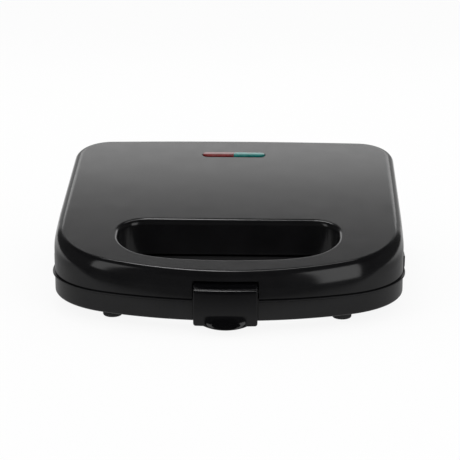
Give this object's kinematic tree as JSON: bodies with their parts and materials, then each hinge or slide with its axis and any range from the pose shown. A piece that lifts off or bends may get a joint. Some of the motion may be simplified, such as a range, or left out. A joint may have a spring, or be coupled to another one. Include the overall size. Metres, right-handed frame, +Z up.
{
  "type": "sandwich toaster",
  "caption": "Countertop sandwich toaster with a wedge-shaped hinged lid, a loop handle in lid and base, a swinging front latch, indicator lights and plates with triangular pockets.",
  "frame": {"origin": "on the table under the middle of the closed toaster's bounding box, at the underside of the feet", "axes": "+Z up, +Y towards the hinged back, -Y towards the handle and latch, +X to the right seen from the front"},
  "size_m": [0.231, 0.2404, 0.0726],
  "materials": {
    "moulded_shell": "satin gloss black moulded plastic",
    "moulded_latch": "satin black moulded plastic",
    "nonstick_plate": "cast aluminium under a dark non-stick coating",
    "element_sheath": "heat-tinted steel sheath",
    "sheet_metal": "bright aluminised steel sheet",
    "screw_steel": "zinc-plated steel",
    "pin_steel": "bright steel rod",
    "dark_steel": "blackened steel rod",
    "fuse_sleeve": "woven heat-proof sleeve",
    "ceramic": "cream ceramic",
    "soft_black": "matt black elastomer",
    "wire_insulation": "white heat-proof insulation",
    "red_lens": "clear red plastic",
    "green_lens": "clear green plastic",
    "lamp_glass": "glass envelope of a neon lamp",
    "holder_plastic": "off-white heat-proof plastic"
  },
  "bodies": {
    "base": {"lower_housing": "moulded_shell", "lower_plate": "nonstick_plate", "lower_heating_element": "element_sheath", "lower_element_supports": "sheet_metal", "lower_reflector": "sheet_metal", "lower_plate_screws": "screw_steel", "lower_thermal_fuse": "fuse_sleeve", "terminal_block": "ceramic", "cord_inlet_bushing": "soft_black", "lower_wiring": "wire_insulation", "front_left_foot": "soft_black", "front_right_foot": "soft_black", "back_left_foot": "soft_black", "back_right_foot": "soft_black", "left_hinge_pin": "pin_steel", "right_hinge_pin": "pin_steel"},
    "lid": {"upper_housing": "moulded_shell", "upper_plate": "nonstick_plate", "upper_heating_element": "element_sheath", "upper_element_supports": "sheet_metal", "upper_reflector": "sheet_metal", "upper_plate_screws": "screw_steel", "thermostat": "ceramic", "upper_thermal_fuse": "fuse_sleeve", "red_lens": "red_lens", "green_lens": "green_lens", "red_lamp": "lamp_glass", "green_lamp": "lamp_glass", "lamp_holder": "holder_plastic", "upper_wiring": "wire_insulation", "latch_pin": "dark_steel"},
    "latch": {"latch": "moulded_latch"}
  },
  "joints": [
    {"name": "lid_hinge", "type": "hinge", "parent": "base", "child": "lid", "pos_m": [0, 0.11475, 0.031], "axis": [-1, 0, 0], "range_deg": [0, 105]},
    {"name": "latch_pivot", "type": "hinge", "parent": "lid", "child": "latch", "pos_m": [0, -0.10575, 0.0265], "axis": [-1, 0, 0], "range_deg": [0, 45]}
  ]
}
